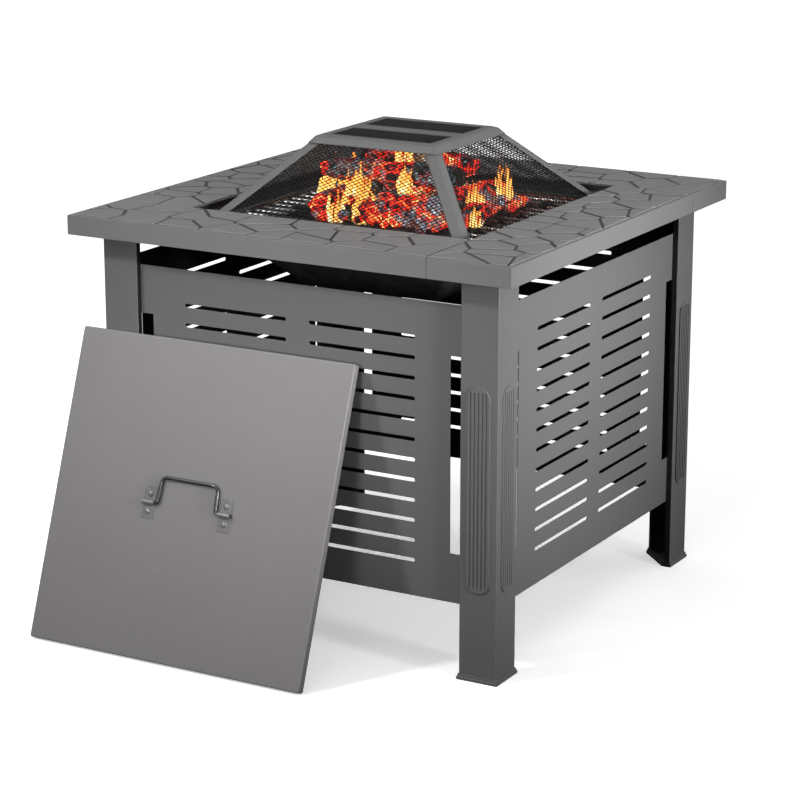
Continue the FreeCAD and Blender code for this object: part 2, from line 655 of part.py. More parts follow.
def makeCap():
    """Pressed square cap with a spreading rim and two windows."""
    cap = body("screen_cap")
    headHalf = "(Sizes.screenTopWidth / 2)"
    wall = "Sizes.screenSheet"
    shoulder = "Sizes.capRound"
    fall = "(%s * 0.4)" % shoulder
    foot = softSquare(cap, capHalf, capFoot, shoulder)
    knee = softSquare(cap, "(%s + %s / 2)" % (headHalf, shoulder), "(%s - %s)" % (screenTop, fall),
                      shoulder)
    head = softSquare(cap, "(%s - %s / 2)" % (headHalf, shoulder), screenTop, shoulder)
    loft(cap, "PartDesign::AdditiveLoft", foot, knee, head)
    inFoot = softSquare(cap, "(%s - %s)" % (capHalf, wall), capFoot, shoulder)
    inKnee = softSquare(cap, "(%s + %s / 2 - %s)" % (headHalf, shoulder, wall),
                        "(%s - %s - %s / 2)" % (screenTop, fall, wall), shoulder)
    inHead = softSquare(cap, "(%s - %s / 2 - %s / 2)" % (headHalf, shoulder, wall),
                        "(%s - %s)" % (screenTop, wall), shoulder)
    loft(cap, "PartDesign::SubtractiveLoft", inFoot, inKnee, inHead)
    windows = sketchOn(cap, "XY_Plane", screenTop)
    near, far, side = "(Sizes.windowBar / 2)", "Sizes.windowReach", "(Sizes.windowWidth / 2)"
    rectangle(windows, "-" + side, near, side, far)
    rectangle(windows, "-" + side, "-" + far, side, "-" + near)
    pocket(cap, windows, "3 * Sizes.screenSheet")
    return cap


def makeCapMesh(place, sign):
    """Mesh panel welded under one window of the cap."""
    mesh = body("screen_cap_mesh_" + place)
    lap = "Sizes.strutSheet * 3"
    panel = sketchOn(mesh, "XY_Plane", "(%s - Sizes.screenSheet)" % screenTop)
    side = "(Sizes.windowWidth / 2 + %s)" % lap
    low = "(Sizes.windowBar / 2 - %s)" % lap
    high = "(Sizes.windowReach + %s)" % lap
    if sign < 0:
        rectangle(panel, "-" + side, "-" + high, side, "-" + low)
    else:
        rectangle(panel, "-" + side, low, side, high)
    pad(mesh, panel, "Sizes.meshThick", reverse=True)
    return mesh


# ---- lid: folded square pan leaning on a leg, with a hinged wire bail ----

def placeOnLid(thing):
    """Lay a sub-part drawn on a flat lid (x across, y up the slope, z out) against the leg.

    A lid too short to reach past the fluting leans on the fluting instead.
    """
    lean = size("Sizes.lidLean")
    edge = size("Sizes.lidEdge")
    drop = math.sin(math.radians(lean))
    rise = math.cos(math.radians(lean))
    short = size(lidWidth) * rise < size("Sizes.fluteFoot + Sizes.fluteHeight")
    proud = size("Sizes.fluteRaise") if short else 0
    back = size("%s + Sizes.restGap" % legCorner) + proud + size(lidWidth) * drop + edge * rise
    spot = Vector(size("Sizes.lidPlace"), -back, edge * drop)
    thing.Placement = Placement(spot, Rotation(Vector(1, 0, 0), 90 - lean)).multiply(thing.Placement)
    return thing


def makeLid():
    lid = body("lid_pan")
    half = "(%s / 2)" % lidWidth
    wall = "Sizes.lidSheet"
    plan = sketchOn(lid, "XY_Plane", "-Sizes.lidEdge")
    rectangle(plan, "-" + half, "0", half, lidWidth)
    pad(lid, plan, "Sizes.lidEdge")
    roundEdges(lid, upright, "Sizes.lidCorner")
    roundEdges(lid, lambda e: level(e, 0), "Sizes.lidRound")
    well = sketchOn(lid, "XY_Plane", "-Sizes.lidEdge")
    inner = "(%s - %s)" % (half, wall)
    rectangle(well, "-" + inner, wall, inner, "(%s - %s)" % (lidWidth, wall))
    pocket(lid, well, "Sizes.lidEdge - %s" % wall, reverse=True)
    holes = sketchOn(lid, "XY_Plane")
    for place in rivetPlaces():
        circle(holes, place, domeShank)
    pocket(lid, holes)
    return placeOnLid(lid)


domeShank = "(Sizes.domeWidth / 4)"


def rivetPlaces():
    for across in ("(-%s)" % clipMiddle, clipMiddle):
        for sign in ("-", "+"):
            yield across, "(Sizes.bailPlace %s Sizes.domeSpacing / 2)" % sign


def makeClip(side, sign):
    """Saddle clip: flat plate with a half-round arch over the bail's tail."""
    middle = "(%s%s)" % (sign, clipMiddle)
    clip = body("handle_clip_" + side)
    plate = sketchOn(clip, "XY_Plane")
    half = "(Sizes.clipLength / 2)"
    tall = "(Sizes.clipHeight / 2)"
    rectangle(plate, "(%s - %s)" % (middle, half), "(Sizes.bailPlace - %s)" % tall,
              "(%s + %s)" % (middle, half), "(Sizes.bailPlace + %s)" % tall)
    pad(clip, plate, "Sizes.clipSheet")
    bore = "(Sizes.wireSize / 2 + Sizes.wirePlay)"
    arch = sketchOn(clip, "YZ_Plane", "(%s - %s)" % (middle, half))
    circle(arch, ("Sizes.bailPlace", wireLift), "%s + Sizes.clipSheet" % bore)
    pad(clip, arch, "Sizes.clipLength")
    trim = sketchOn(clip, "XY_Plane")
    rectangle(trim, "(%s - Sizes.clipLength)" % middle, "(Sizes.bailPlace - Sizes.clipHeight)",
              "(%s + Sizes.clipLength)" % middle, "(Sizes.bailPlace + Sizes.clipHeight)")
    pocket(clip, trim, "Sizes.wireSize", reverse=False)
    tunnel = sketchOn(clip, "YZ_Plane", "(%s - %s)" % (middle, half))
    circle(tunnel, ("Sizes.bailPlace", wireLift), bore)
    pocket(clip, tunnel, "Sizes.clipLength", reverse=True)
    holes = sketchOn(clip, "XY_Plane")
    for across, up in rivetPlaces():
        if across.startswith("(-") == (sign == "-"):
            circle(holes, (across, up), domeShank)
    pocket(clip, holes, reverse=True)
    return placeOnLid(clip)


def makeRivets():
    """Four domed rivets through the clips and the lid."""
    rivets = []
    for across, up in rivetPlaces():
        dome = doc.addObject("Part::Sphere", "RivetDome")
        bulge = "((Sizes.domeWidth^2 / 4 + Sizes.domeRise^2) / (2 * Sizes.domeRise))"
        bind(dome, Radius=bulge, X=across, Y=up,
             Z="Sizes.clipSheet + Sizes.domeRise - %s" % bulge)
        room = bind(doc.addObject("Part::Cylinder", "RivetRoom"), Radius="Sizes.domeWidth",
                    Height="Sizes.domeWidth", X=across, Y=up, Z="Sizes.clipSheet")
        head = doc.addObject("Part::Common", "RivetHead")
        head.Base = dome
        head.Tool = room
        shank = bind(doc.addObject("Part::Cylinder", "RivetShank"), Radius=domeShank,
                     Height="Sizes.lidSheet + Sizes.clipSheet", X=across, Y=up, Z="-Sizes.lidSheet")
        tail = bind(doc.addObject("Part::Cylinder", "RivetTail"), Radius="Sizes.domeWidth * 0.4",
                    Height="Sizes.lidSheet", X=across, Y=up, Z="-2 * Sizes.lidSheet")
        rivet = doc.addObject("Part::MultiFuse", "Rivet")
        rivet.Shapes = [head, shank, tail]
        rivets.append(rivet)
    bundle = group("handle_rivets", rivets)
    return placeOnLid(bundle)


def makeBail():
    """Bent wire bail: its route is straight runs joined by tangent bends."""
    up = size("Sizes.bailPlace")
    reach = size("Sizes.bailReach")
    foot = size("Sizes.bailFootWidth") / 2
    head = size("Sizes.bailTopWidth") / 2
    tail = size("%s + Sizes.clipLength / 2 + Sizes.clipPlay" % clipMiddle)
    lift = size(wireLift)
    bends = [size("Sizes.bailFootBend"), size("Sizes.bailBend")]
    points = [Vector(x, up + y, lift) for x, y in (
        (-tail, 0), (-foot, 0), (-head, reach), (head, reach), (foot, 0), (tail, 0))]
    edges = []
    start = points[0]
    for bend, before, at, after in zip(bends + bends[::-1], points, points[1:], points[2:]):
        into = (at - before).normalize()
        away = (after - at).normalize()
        setback = bend * math.tan(into.getAngle(away) / 2)
        enter = at - into * setback
        leave = at + away * setback
        bisect = (away - into).normalize()
        centre = at + bisect * (bend / math.cos(into.getAngle(away) / 2))
        middle = centre - bisect * bend
        edges.append(Part.makeLine(start, enter))
        edges.append(Part.Arc(enter, middle, leave).toShape())
        start = leave
    edges.append(Part.makeLine(start, points[-1]))
    route = Part.Wire(edges)
    ring = Part.Wire(Part.makeCircle(size("Sizes.wireSize") / 2, points[0], Vector(1, 0, 0)))
    wire = doc.addObject("Part::Feature", "Bail")
    wire.Shape = route.makePipeShell([ring], True, True)
    keep(wire, "lid_handle")
    return placeOnLid(wire)


# ---- fixings ----

def makeNuts():
    """Nuts under the corner brackets and under the bowl's flange."""
    nuts = []
    for number, (name, angle) in enumerate(CORNERS):
        quarter = []
        for x, y in studPlaces:
            place = ("(%s - %s)" % (x, legCorner), "(%s - %s)" % (y, legCorner),
                     "(%s - Sizes.nutHeight)" % legTop)
            quarter.append(hexNut("BracketNut", place))
        for x, y in rimStudPlaces:
            place = (x, y, "(%s - Sizes.bowlSheet - Sizes.nutHeight)" % rimLevel)
            quarter.append(hexNut("RimNut", place))
        bundle = doc.addObject("Part::Compound", "NutQuarter")
        bundle.Links = quarter
        nuts.append(turned(bundle, angle))
    return group("top_nuts", nuts)


def makeSideBolts():
    """Bolts from inside through each side panel into the bosses of the legs."""
    bolts = []
    for name, angle in SIDES:
        row = []
        for sign in ("-", ""):
            for height in boltHeights:
                x = sign + "(%s - Sizes.boltInset)" % legCorner
                face = "(Sizes.panelSheet - %s)" % panelFace
                depth = "(Sizes.panelSheet + (Sizes.legLip - Sizes.legSheet) * 0.9)"
                shank = rod("Shank", "Sizes.boltSize", depth, x, face, height, Vector(0, -1, 0))
                head = rod("Head", "Sizes.boltHead", "Sizes.headHeight", x, face, height,
                           Vector(0, 1, 0))
                bolt = doc.addObject("Part::MultiFuse", "Bolt")
                bolt.Shapes = [shank, head]
                row.append(bolt)
        bundle = doc.addObject("Part::Compound", "BoltRow")
        bundle.Links = row
        bolts.append(turned(bundle, angle))
    return group("side_bolts", bolts)


def makeSeamRivets():
    """Rivets that join the end flanges of neighbouring top panels."""
    rivets = []
    for name, angle in SIDES:
        inner = "(%s - Sizes.topSheet)" % seamNear
        outer = "(%s + Sizes.topSheet)" % seamFar
        grip = "(%s - %s)" % (outer, inner)
        y = "(-%s)" % flangeMiddle
        out = Vector(1, 0, 0)
        shank = rod("Shank", "Sizes.rivetShank", grip, inner, y, seamRivetLevel, out)
        near = rod("Head", "Sizes.rivetHead", "Sizes.rivetHeight", inner, y, seamRivetLevel, -out)
        far = rod("Head", "Sizes.rivetHead", "Sizes.rivetHeight", outer, y, seamRivetLevel, out)
        rivet = doc.addObject("Part::MultiFuse", "SeamRivet")
        rivet.Shapes = [shank, near, far]
        rivets.append(turned(rivet, angle))
    return group("seam_rivets", rivets)


# ---- build ----

for corner, angle in CORNERS:
    for maker in (makeLeg, makeFoot, makeBracket, makeStrut):
        piece = maker(corner, angle)
        doc.recompute()
        for path, expression in list(piece.ExpressionEngine):
            piece.setExpression(path, None)
        turned(piece, angle)
for side, angle in SIDES:
    for maker in (makeSidePanel, makeTopPanel, makeMesh):
        piece = maker(side, angle)
        doc.recompute()
        for path, expression in list(piece.ExpressionEngine):
            piece.setExpression(path, None)
        turned(piece, angle)
makeBowl()
makeGrate()
makeLogs()
makeScreenBase()
makeCap()
makeCapMesh("front", -1)
makeCapMesh("rear", 1)
makeNuts()
makeSideBolts()
makeSeamRivets()
makeLid()
makeClip("left", "-")
makeClip("right", "")
makeRivets()
makeBail()
doc.recompute()

for thing in doc.Objects:
    assert "Invalid" not in thing.State and "Error" not in thing.State, thing.Label
os.makedirs("parts", exist_ok=True)
for thing in kept:
    shape = thing.Shape
    assert not shape.isNull() and shape.isValid(), thing.Label
    shape.exportStep("parts/%s.step" % thing.Label)
print("wrote %d sub-parts" % len(kept))
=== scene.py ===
import math
import random
import bpy
import bmesh
import numpy as np
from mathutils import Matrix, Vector, noise


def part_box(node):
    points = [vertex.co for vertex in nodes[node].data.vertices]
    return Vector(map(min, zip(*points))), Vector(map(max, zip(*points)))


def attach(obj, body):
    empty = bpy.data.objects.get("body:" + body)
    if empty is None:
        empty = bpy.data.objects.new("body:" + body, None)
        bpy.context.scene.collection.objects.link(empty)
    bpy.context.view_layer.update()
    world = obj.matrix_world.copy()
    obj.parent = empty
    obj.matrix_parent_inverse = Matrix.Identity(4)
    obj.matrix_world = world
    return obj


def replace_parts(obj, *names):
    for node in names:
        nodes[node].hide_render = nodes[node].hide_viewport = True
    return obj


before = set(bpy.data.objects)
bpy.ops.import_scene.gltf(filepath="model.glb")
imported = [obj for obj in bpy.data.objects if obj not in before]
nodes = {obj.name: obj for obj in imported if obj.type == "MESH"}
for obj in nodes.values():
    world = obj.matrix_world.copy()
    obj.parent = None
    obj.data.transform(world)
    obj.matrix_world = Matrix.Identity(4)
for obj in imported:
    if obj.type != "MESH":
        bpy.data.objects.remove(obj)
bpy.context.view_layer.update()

scene = bpy.context.scene
sides = ["front", "right", "rear", "left"]
corners = ["front_left", "front_right", "rear_right", "rear_left"]
hair = 1e-4  # metres: points closer than this count as level
noiseSpan = (0.3, 0.7)  # where nearly all of a noise's values lie
rising, falling = (0.0, 1.0), (1.0, 0.0)

# camera: long lens, a little to the right of the lid's side and slightly above
view = {"place": (2.0364, -3.6015, 1.4387), "toward": (-0.47726, 0.83833, -0.26349),
        "lens": 119.95, "sensor": 36, "far": 60}
cameraData = bpy.data.cameras.new("camera")
cameraData.lens = view["lens"]
cameraData.sensor_width = view["sensor"]
cameraData.clip_end = view["far"]
camera = bpy.data.objects.new("camera", cameraData)
scene.collection.objects.link(camera)
camera.location = view["place"]
camera.rotation_euler = Vector(view["toward"]).to_track_quat("-Z", "Y").to_euler()
scene.camera = camera
print("camera set")


def connect(tree, value, socket):
    # another node's output is linked, a plain value is set
    if isinstance(value, bpy.types.NodeSocket):
        tree.links.new(value, socket)
    else:
        socket.default_value = value


def add(tree, kind, inputs=None, **settings):
    made = tree.nodes.new("ShaderNode" + kind)
    for key, value in settings.items():
        setattr(made, key, value)
    for key, value in (inputs or {}).items():
        connect(tree, value, made.inputs[key])
    return made


def calc(tree, operation, a, b=0.0):
    return add(tree, "Math", {0: a, 1: b}, operation=operation).outputs[0]


def times(tree, a, b):
    return calc(tree, "MULTIPLY", a, b)


def spread(tree, value, before, after):
    # from one span to another, clamped at both ends
    made = add(tree, "MapRange", {"Value": value, "From Min": before[0], "From Max": before[1],
                                  "To Min": after[0], "To Max": after[1]})
    return made.outputs["Result"]


def blendColors(tree, factor, first, second, mode="MIX"):
    mix = add(tree, "Mix", data_type="RGBA", blend_type=mode)
    for socket, value in ((0, factor), (6, first), (7, second)):
        connect(tree, value, mix.inputs[socket])
    return mix.outputs[2]


def colorRamp(tree, factor, stops):
    ramp = add(tree, "ValToRGB", {"Fac": factor})
    elements = ramp.color_ramp.elements
    for element, (place, color) in zip(elements, (stops[0], stops[-1])):
        element.position, element.color = place, color
    for place, color in stops[1:-1]:
        elements.new(place).color = color
    return ramp.outputs["Color"]


def speckle(tree, coords, look):
    # a look for noise is its scale, detail and roughness
    made = add(tree, "TexNoise", {"Vector": coords, "Scale": look[0], "Detail": look[1],
                                  "Roughness": look[2]})
    return made.outputs["Fac"]


def drawnOut(tree, coords, scale):
    # stretches a pattern along the axes with a small scale
    return add(tree, "Mapping", {"Vector": coords, "Scale": scale}).outputs[0]


def heightOf(tree, coords):
    return add(tree, "SeparateXYZ", {0: coords}).outputs[2]


def outward(tree, coords):
    # distance from the table's middle, measured square
    parts = add(tree, "SeparateXYZ", {0: coords})
    return calc(tree, "MAXIMUM", calc(tree, "ABSOLUTE", parts.outputs[0]),
                calc(tree, "ABSOLUTE", parts.outputs[1]))


def emboss(tree, shader, relief, strength, depth, **more):
    bump = add(tree, "Bump", {"Height": relief, "Strength": strength, "Distance": depth, **more})
    tree.links.new(bump.outputs["Normal"], shader.inputs["Normal"])


def newMaterial(name):
    material = bpy.data.materials.new(name)
    material.use_nodes = True
    tree = material.node_tree
    coords = add(tree, "TexCoord").outputs["Object"]
    return material, tree, tree.nodes["Principled BSDF"], coords


def rgb(shade, tint=(1, 1, 1)):
    return (shade * tint[0], shade * tint[1], shade * tint[2], 1)


def link(obj):
    scene.collection.objects.link(obj)
    return obj


def dress(names, material):
    for name in names:
        slots = nodes[name].material_slots
        if not slots:
            nodes[name].data.materials.append(material)
        for slot in slots:
            slot.material = material


def makePiece(name, built, material, smooth=False):
    data = bpy.data.meshes.new(name)
    built.to_mesh(data)
    built.free()
    data.materials.append(material)
    for face in data.polygons:
        face.use_smooth = smooth
    return link(bpy.data.objects.new(name, data))


# the powder coat that all painted sheets share: cloudy tone, dust, rubbed edges lightened as wear
# and as a painted highlight, grain, and painted shade for the faces inside the table
powderCoat = {
    "tint": (1, 1, 1), "shine": 0.35, "edge": 0.0012, "stones": False, "paintedShadeInside": None,
    "mottle": (0.98, 1.02), "mottleNoise": (5.0, 3.0, 0.55),
    "dust": (0.0, 0.10), "dustShade": 1.7, "dustNoise": (60.0, 5.0, 0.7),
    "dustSpan": (0.55, 0.75), "wearAndHighlight": 0.35, "wearHighlightShade": 1.9, "wearHighlightSpan": (0.985, 0.80),
    "grain": 0.10, "grainDepth": 0.0006, "fineNoise": (900.0, 2.0, 0.55), "fineShare": 0.5,
    "coarseNoise": (170.0, 2.0, 0.55), "roughStep": (-0.02, 0.03),
    "roughNoise": (24.0, 3.0, 0.55), "paintedInsideShade": 0.0045,
}
# what each paint has of its own, including how far a face must look inward before it is painted
# near black, a painted shade for the table's inside
paints = {
    "top": {"shade": 0.15, "rough": 0.52, "stones": True, "paintedShadeInside": -0.05, "grain": 0.45},
    "frame": {"shade": 0.124, "rough": 0.46, "paintedShadeInside": -0.02},
    "lid": {"shade": 0.195, "rough": 0.38, "tint": (1.03, 0.985, 1.0), "edge": 0.0016},
    "handle": {"shade": 0.022, "rough": 0.2, "shine": 1.0, "wearAndHighlight": 0.1, "edge": 0.0004},
    "clip": {"shade": 0.165, "rough": 0.26, "shine": 0.8, "tint": (1.03, 0.985, 1.0),
             "edge": 0.0005},
    "screen": {"shade": 0.092, "rough": 0.5, "edge": 0.004, "wearAndHighlight": 0.15},
    "mesh": {"shade": 0.006, "rough": 0.5, "edge": 0.0004, "wearAndHighlight": 0.2, "shine": 0.15},
}
# painted shade in the joints between the pressed stones: darker colour by height above the flat
# sheet, for the shade down in the grooves
jointShadeLook = {"start": (0.00005, 0.00015), "end": (0.0008, 0.0015), "margin": 0.0088,
             "cover": 0.85, "shade": 0.06}


def stoneJointShade(tree, coords):
    low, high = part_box("top_panel_front")
    above = calc(tree, "SUBTRACT", heightOf(tree, coords), high.z)
    joint = times(tree, spread(tree, above, jointShadeLook["start"], rising),
                  spread(tree, above, jointShadeLook["end"], falling))
    field = calc(tree, "LESS_THAN", outward(tree, coords), -low.x - jointShadeLook["margin"])
    return times(tree, joint, field)


def paint(name, own):
    look = {**powderCoat, **own}
    shade = look["shade"]
    material, tree, shader, coords = newMaterial(name + " paint")
    geometry = add(tree, "NewGeometry")
    bevel = add(tree, "Bevel", {"Radius": look["edge"]}, samples=4).outputs["Normal"]
    mottle = spread(tree, speckle(tree, coords, look["mottleNoise"]), noiseSpan, look["mottle"])
    dust = spread(tree, speckle(tree, coords, look["dustNoise"]), look["dustSpan"], look["dust"])
    base = blendColors(tree, 1.0, rgb(shade, look["tint"]), mottle, "MULTIPLY")
    base = blendColors(tree, dust, base, rgb(shade * look["dustShade"]))
    # rubbed edges, where the bent normal leaves the flat one: lighter there, partly wear and partly
    # a painted highlight
    bend = add(tree, "VectorMath", {0: bevel, 1: geometry.outputs["Normal"]},
               operation="DOT_PRODUCT").outputs["Value"]
    rubbedHighlight = spread(tree, bend, look["wearHighlightSpan"], (0.0, look["wearAndHighlight"]))
    base = blendColors(tree, rubbedHighlight, base, rgb(shade * look["wearHighlightShade"]))
    if look["stones"]:
        # painted shade down in the joints between the stones
        jointShade = times(tree, stoneJointShade(tree, coords), jointShadeLook["cover"])
        base = blendColors(tree, jointShade, base, rgb(shade * jointShadeLook["shade"]))
    if look["paintedShadeInside"]:
        # painted shade: faces that look toward the table's middle are painted near black for the
        # shade inside the table
        facing = add(tree, "VectorMath", {0: geometry.outputs["Normal"],
                                          1: geometry.outputs["Position"]},
                     operation="DOT_PRODUCT").outputs["Value"]
        shadedInside = calc(tree, "LESS_THAN", facing, look["paintedShadeInside"])
        base = blendColors(tree, shadedInside, base, rgb(look["paintedInsideShade"]))
    tree.links.new(base, shader.inputs["Base Color"])
    rough = spread(tree, speckle(tree, coords, look["roughNoise"]), noiseSpan,
                   [look["rough"] + step for step in look["roughStep"]])
    tree.links.new(rough, shader.inputs["Roughness"])
    fine = times(tree, speckle(tree, coords, look["fineNoise"]), look["fineShare"])
    relief = calc(tree, "ADD", fine, speckle(tree, coords, look["coarseNoise"]))
    emboss(tree, shader, relief, look["grain"], look["grainDepth"], Normal=bevel)
    shader.inputs["Specular IOR Level"].default_value = look["shine"]
    return material


painted = {name: paint(name, own) for name, own in paints.items()}
dress(["top_panel_" + side for side in sides], painted["top"])
dress([kind + corner for kind in ("leg_", "foot_", "corner_bracket_") for corner in corners],
      painted["frame"])
dress(["side_panel_" + side for side in sides], painted["frame"])
dress(["lid_pan"], painted["lid"])
dress(["handle_clip_left", "handle_clip_right", "handle_rivets"], painted["clip"])
dress(["lid_handle"], painted["handle"])
dress(["screen_base", "screen_cap"] + ["screen_strut_" + corner for corner in corners],
      painted["screen"])

# black high-heat enamel, dusted with ash toward the bowl's floor
bowlLook = {"shade": 0.006, "ash": 0.5, "ashColor": (0.09, 0.085, 0.08, 1), "ashTall": 0.06,
            "ashNoise": (45.0, 6.0, 0.7), "ashSpan": (0.4, 0.7), "rough": (0.5, 0.75),
            "roughNoise": (30.0, 3.0, 0.55), "grain": 0.25, "grainNoise": (500.0, 4.0, 0.55),
            "grainDepth": 0.0006}


def bowlMaterial(look):
    material, tree, shader, coords = newMaterial("bowl enamel")
    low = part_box("fire_bowl")[0].z
    settled = spread(tree, heightOf(tree, coords), (low, low + look["ashTall"]),
                     (look["ash"], 0.0))
    patches = spread(tree, speckle(tree, coords, look["ashNoise"]), look["ashSpan"], rising)
    base = blendColors(tree, times(tree, settled, patches), rgb(look["shade"]),
                       look["ashColor"])
    tree.links.new(base, shader.inputs["Base Color"])
    rough = spread(tree, speckle(tree, coords, look["roughNoise"]), noiseSpan, look["rough"])
    tree.links.new(rough, shader.inputs["Roughness"])
    emboss(tree, shader, speckle(tree, coords, look["grainNoise"]), look["grain"],
           look["grainDepth"])
    return material


# bright drawn rod, darkened toward the middle under the fire: heat is how heavily, partly soot and
# partly painted shade where the logs keep the light off
zincs = {"grate zinc": {"shade": 0.95, "heat": 0.95}, "fixings zinc": {"shade": 0.55, "heat": 0.1}}
zincLook = {"drawn": (0.1, 1.0, 1.0), "streakNoise": (700.0, 3.0, 0.55), "streakShade": 0.8,
            "sootAndShade": (0.008, 0.008, 0.008, 1), "sootAndShadeSpan": (0.66, 0.86),
            "patchNoise": (22.0, 5.0, 0.65), "patchSpan": (0.50, 0.60), "patchShare": 0.7,
            "bareSpan": (0.0, 0.6),
            "rough": (0.25, 0.42), "shine": 0.1, "grain": 0.12, "grainDepth": 0.0004}


def zincMaterial(name, look):
    shade, heat = zincs[name]["shade"], zincs[name]["heat"]
    material, tree, shader, coords = newMaterial(name)
    streak = speckle(tree, drawnOut(tree, coords, look["drawn"]), look["streakNoise"])
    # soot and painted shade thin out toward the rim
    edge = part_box("fire_grate")[1].x
    near = spread(tree, outward(tree, coords), [edge * share for share in look["sootAndShadeSpan"]],
                  (heat, 0.0))
    patches = spread(tree, speckle(tree, coords, look["patchNoise"]), look["patchSpan"],
                     (0.0, heat * look["patchShare"]))
    sootAndShade = calc(tree, "ADD", near, patches)
    base = blendColors(tree, spread(tree, streak, noiseSpan, rising),
                       rgb(shade * look["streakShade"]), rgb(shade))
    # soot and painted shade darken the rod toward the middle
    base = blendColors(tree, spread(tree, sootAndShade, rising, rising), base, look["sootAndShade"])
    tree.links.new(base, shader.inputs["Base Color"])
    tree.links.new(spread(tree, streak, noiseSpan, look["rough"]), shader.inputs["Roughness"])
    tree.links.new(spread(tree, sootAndShade, look["bareSpan"], falling), shader.inputs["Metallic"])
    shader.inputs["Specular IOR Level"].default_value = look["shine"]
    emboss(tree, shader, streak, look["grain"], look["grainDepth"])
    return material


dress(["fire_bowl"], bowlMaterial(bowlLook))
dress(["fire_grate"], zincMaterial("grate zinc", zincLook))
dress(["top_nuts", "side_bolts", "seam_rivets"], zincMaterial("fixings zinc", zincLook))
print("paints done")

# pressed stones of the table top: closed is the share of joints that are pressed shut
stoneLook = {"wide": 0.080, "tall": 0.047, "joint": 0.0011, "crossJoint": 0.0024,
             "closed": 0.13, "overlap": 0.0001, "rise": 0.0021, "riseSpan": (0.85, 1.0),
             "shoulder": 0.65, "bevel": 0.0011, "bed": (-0.0002, 0.0003),
             "outerInset": 0.006, "innerInset": 0.003, "outerFrom": 0.3,
             "stray": (0.36, 0.33), "stagger": (0.5, 0.0), "neighbour": 0.22, "seed": 21,
             "pairStep": 977}


def clipped(polygon, point, normal):
    # the part of a polygon behind a line
    kept = []
    for first, second in zip(polygon, polygon[1:] + polygon[:1]):
        before, after = (first - point).dot(normal), (second - point).dot(normal)
        if before <= 0:
            kept.append(first)
        if before * after < 0:
            kept.append(first + (second - first) * (before / (before - after)))
    return kept


def addRings(built, rings):
    # a closed plate from outlines given bottom to top
    loops = [[built.verts.new(point) for point in ring] for ring in rings]
    built.faces.new(loops[0][::-1])
    built.faces.new(loops[-1])
    for low, high in zip(loops, loops[1:]):
        for i in range(len(low)):
            j = (i + 1) % len(low)
            built.faces.new((low[i], low[j], high[j], high[i]))


def stoneField(side, crown, look):
    # the flat part of one top panel, held a little inside its edges
    flat = [v.co for v in nodes["top_panel_" + side].data.vertices if v.co.z > crown - hair]
    ends = []
    for axis in (0, 1):
        for value, way in ((min(p[axis] for p in flat), 1), (max(p[axis] for p in flat), -1)):
            outer = abs(value) > look["outerFrom"]
            ends.append(value + way * look["outerInset" if outer else "innerInset"])
    return ends


def stoneMiddles(ends, chance, look):
    x0, x1, y0, y1 = ends
    columns, rows = round((x1 - x0) / look["wide"]), round((y1 - y0) / look["tall"])
    strayAcross, strayUp = look["stray"]
    middles = []
    for row in range(rows):
        for column in range(columns + row % 2):
            across = column + look["stagger"][row % 2] + chance.uniform(-strayAcross, strayAcross)
            up = row + 0.5 + chance.uniform(-strayUp, strayUp)
            middles.append(Vector((x0 + (x1 - x0) * (across / columns),
                                   y0 + (y1 - y0) * up / rows)))
    return middles


def pressedStones(side, look):
    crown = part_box("top_panel_" + side)[1].z
    ends = stoneField(side, crown, look)
    x0, x1, y0, y1 = ends
    field = [Vector(p) for p in ((x0, y0), (x1, y0), (x1, y1), (x0, y1))]
    chance = random.Random(sides.index(side) + look["seed"])
    middles = stoneMiddles(ends, chance, look)
    built = bmesh.new()
    addRings(built, [[(p.x, p.y, crown + rise) for p in field] for rise in look["bed"]])
    for i, middle in enumerate(middles):
        outline = field
        for j, other in enumerate(middles):
            away = other - middle
            if i == j or away.length > look["neighbour"]:
                continue
            # both stones of a pair agree on their joint
            pair = random.Random(min(i, j) * look["pairStep"] + max(i, j))
            # joints that run from side to side are the wider ones
            joint = look["joint"] + look["crossJoint"] * abs(away.normalized().y)
            if pair.random() < look["closed"]:
                joint = -look["overlap"]
            outline = clipped(outline, (middle + other) / 2 - away.normalized() * joint, away)
        if len(outline) < 3:
            continue
        heart = sum(outline, Vector((0, 0))) / len(outline)
        inner = [p + (heart - p).normalized() * look["bevel"] for p in outline]
        rise = look["rise"] * chance.uniform(*look["riseSpan"])
        addRings(built, [[(p.x, p.y, crown) for p in outline],
                         [(p.x, p.y, crown + rise * look["shoulder"]) for p in outline],
                         [(p.x, p.y, crown + rise) for p in inner]])
    bmesh.ops.recalc_face_normals(built, faces=built.faces)
    piece = makePiece("stones_" + side, built, painted["top"])
    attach(piece, "table")


for side in sides:
    pressedStones(side, stoneLook)
print("stones done")

# wire mesh of the screen: cell sizes and strand thickness; lift keeps crossing wires apart
wallMesh = {"cellWide": 0.0105, "cellTall": 0.0070, "strand": 0.0011, "lift": 0.22, "flat": 0.7}
windowMesh = {"cellWide": 0.0075, "cellTall": 0.0058, "strand": 0.0012, "lift": 0.22,
              "flat": 0.7}


def sheetCorners(name):
    # the four corners of a sloping sheet's middle plane: low pair, then high pair
    points = [Vector(v.co) for v in nodes[name].data.vertices]
    low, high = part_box(name)
    axis = 0 if high.x - low.x > high.y - low.y else 1
    found = []
    for level in (low.z, high.z):
        row = sorted((p for p in points if abs(p.z - level) < hair), key=lambda p: p[axis])
        half = len(row) // 2
        for ends in (row[:half], row[half:]):
            found.append(sum(ends, Vector()) / len(ends))
    return found[0], found[1], found[3], found[2]


def flatCorners(name):
    low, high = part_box(name)
    level = (low.z + high.z) / 2
    return [Vector((x, y, level)) for x, y in
            ((low.x, low.y), (high.x, low.y), (high.x, high.y), (low.x, high.y))]


